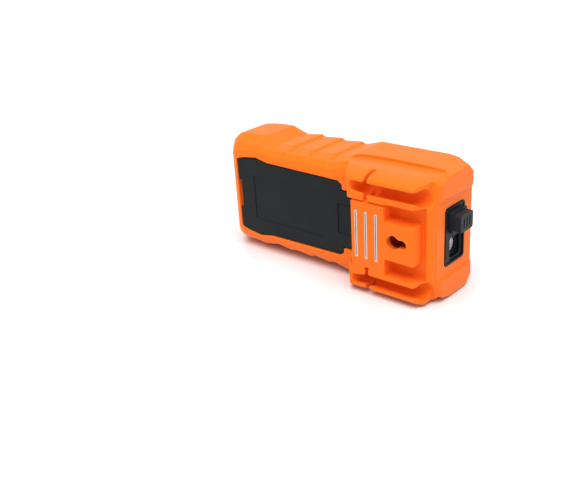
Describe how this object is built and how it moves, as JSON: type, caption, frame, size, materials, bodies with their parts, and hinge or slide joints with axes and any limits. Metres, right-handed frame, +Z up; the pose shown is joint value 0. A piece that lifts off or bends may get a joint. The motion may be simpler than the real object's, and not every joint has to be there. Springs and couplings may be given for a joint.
{
  "type": "component tester",
  "caption": "Handheld component tester in a ribbed orange boot with probe holders, kickstand, magnet bars, keyhole hanger, selector, keys and input jacks, lying on its long side.",
  "frame": {"origin": "centre of the bounding box in X and Y, at the underside of the long side that the tester lies on", "axes": "+X along the length to the top end, +Y from the back to the display front, +Z up across the width"},
  "size_m": [0.2116, 0.067, 0.094],
  "materials": {
    "boot_rubber": "fine matt moulded elastomer",
    "magnet_steel": "plated steel",
    "stand_plastic": "fine spark-eroded texture",
    "case_plastic": "fine spark-eroded texture",
    "steel": "zinc plated",
    "cell_jacket": "printed sleeve left plain",
    "face_plastic": "satin film",
    "window_glass": "clear, polished",
    "lcd_grey": "polished glass sandwich",
    "white_plastic": "moulded",
    "connector_rubber": "moulded silicone",
    "board_green": "solder resist",
    "black_plastic": "moulded",
    "brass": "bright",
    "ceramic": "glazed",
    "key_rubber": "moulded silicone",
    "reflector_chrome": "vacuum metallised",
    "led_resin": "clear resin"
  },
  "bodies": {
    "tester": {"protective_boot": "boot_rubber", "magnet_bars": "magnet_steel", "kickstand_pins": "steel", "rear_case": "case_plastic", "front_case": "case_plastic", "case_screws": "steel", "battery_door": "case_plastic", "battery_door_screws": "steel", "battery_cells": "cell_jacket", "battery_springs": "steel", "battery_plates": "steel", "face_plate": "face_plastic", "display_window": "window_glass", "lcd_panel": "lcd_grey", "lcd_frame": "white_plastic", "lcd_connectors": "connector_rubber", "circuit_board": "board_green", "board_screws": "steel", "main_chip": "black_plastic", "capacitors": "cell_jacket", "current_shunt": "brass", "buzzer": "black_plastic", "fuses": "ceramic", "fuse_clips": "steel", "keypad_mat": "connector_rubber", "input_sleeve_1": "brass", "input_sleeve_2": "brass", "input_sleeve_3": "brass", "input_sleeve_4": "brass", "end_bezel": "stand_plastic", "sensor_nose": "stand_plastic", "sensor_antenna": "brass", "torch_reflector": "reflector_chrome", "torch_led": "led_resin", "torch_board": "board_green"},
    "stand": {"kickstand": "stand_plastic"},
    "selector": {"selector_knob": "black_plastic", "selector_rotor": "white_plastic", "rotor_wipers": "brass", "detent_balls": "steel", "detent_springs": "steel"},
    "button_1": {"key_1": "key_rubber"},
    "button_2": {"key_2": "key_rubber"},
    "button_3": {"key_3": "key_rubber"},
    "button_4": {"key_4": "key_rubber"},
    "button_5": {"key_5": "key_rubber"},
    "button_6": {"key_6": "key_rubber"}
  },
  "joints": [
    {"name": "kickstand_hinge", "type": "hinge", "parent": "tester", "child": "stand", "pos_m": [0.02825, -0.0153, 0.047], "axis": [0, 0, 1], "range_deg": [0, 70]},
    {"name": "selector_turn", "type": "hinge", "parent": "tester", "child": "selector", "pos_m": [-0.03125, 0.0255, 0.047], "axis": [0, -1, 0], "continuous": true},
    {"name": "key_1_press", "type": "slide", "parent": "tester", "child": "button_1", "axis": [0, -1, 0], "range_m": [0, 0.001], "stiffness_N_per_m": 1500},
    {"name": "key_2_press", "type": "slide", "parent": "tester", "child": "button_2", "axis": [0, -1, 0], "range_m": [0, 0.001], "stiffness_N_per_m": 1500},
    {"name": "key_3_press", "type": "slide", "parent": "tester", "child": "button_3", "axis": [0, -1, 0], "range_m": [0, 0.001], "stiffness_N_per_m": 1500},
    {"name": "key_4_press", "type": "slide", "parent": "tester", "child": "button_4", "axis": [0, -1, 0], "range_m": [0, 0.001], "stiffness_N_per_m": 1500},
    {"name": "key_5_press", "type": "slide", "parent": "tester", "child": "button_5", "axis": [0, -1, 0], "range_m": [0, 0.001], "stiffness_N_per_m": 1500},
    {"name": "key_6_press", "type": "slide", "parent": "tester", "child": "button_6", "axis": [0, -1, 0], "range_m": [0, 0.001], "stiffness_N_per_m": 1500}
  ]
}
